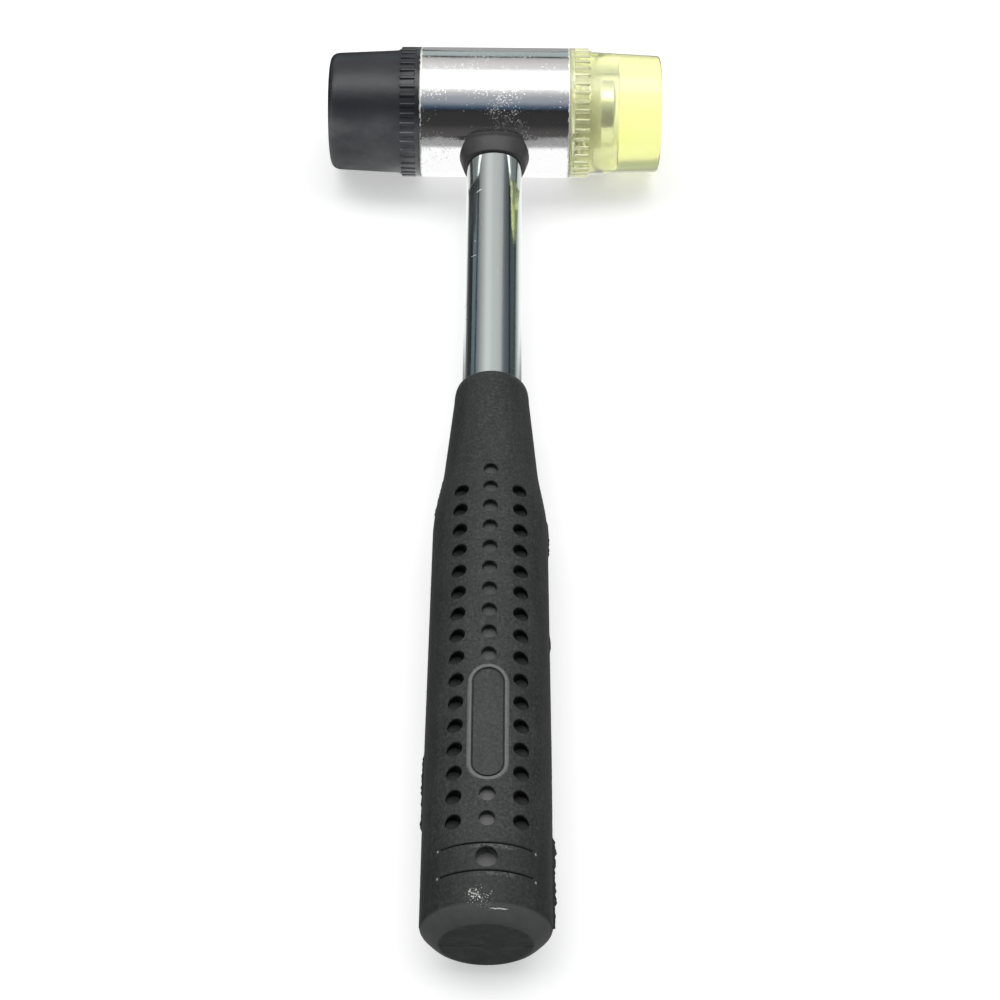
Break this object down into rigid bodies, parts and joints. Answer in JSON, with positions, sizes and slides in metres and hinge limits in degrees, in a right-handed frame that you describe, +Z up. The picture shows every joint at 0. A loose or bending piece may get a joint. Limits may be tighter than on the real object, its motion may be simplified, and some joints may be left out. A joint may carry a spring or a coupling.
{
  "type": "soft face hammer",
  "caption": "Soft face hammer: plated steel head with a black rubber face and a translucent yellow plastic face that screw off, tubular steel handle and moulded rubber grip.",
  "frame": {"origin": "on the bench, under the middle of the hammer's bounding box as it lies at rest", "axes": "+X along the head from the black face to the yellow face, +Y from the butt towards the head, +Z up from the bench"},
  "size_m": [0.0896, 0.2636, 0.035],
  "materials": {
    "plated_head": "bright plating with fine pits",
    "black_face_rubber": "smooth moulded black rubber",
    "yellow_plastic": "translucent pale yellow",
    "plated_tube": "bright plating with light scratches",
    "plug_steel": "turned steel",
    "collar_rubber": "satin black rubber",
    "grip_rubber": "matt dark grey moulded rubber"
  },
  "bodies": {
    "hammer": {"head_body": "plated_head", "handle_tube": "plated_tube", "tube_plug": "plug_steel", "collar": "collar_rubber", "grip": "grip_rubber"},
    "rubber_face": {"rubber_face": "black_face_rubber"},
    "plastic_face": {"plastic_face": "yellow_plastic"}
  },
  "joints": [
    {"name": "rubber_face_off", "type": "slide", "parent": "hammer", "child": "rubber_face", "axis": [-1, 0, 0], "range_m": [0, 0.014]},
    {"name": "plastic_face_off", "type": "slide", "parent": "hammer", "child": "plastic_face", "axis": [1, 0, 0], "range_m": [0, 0.014]}
  ]
}
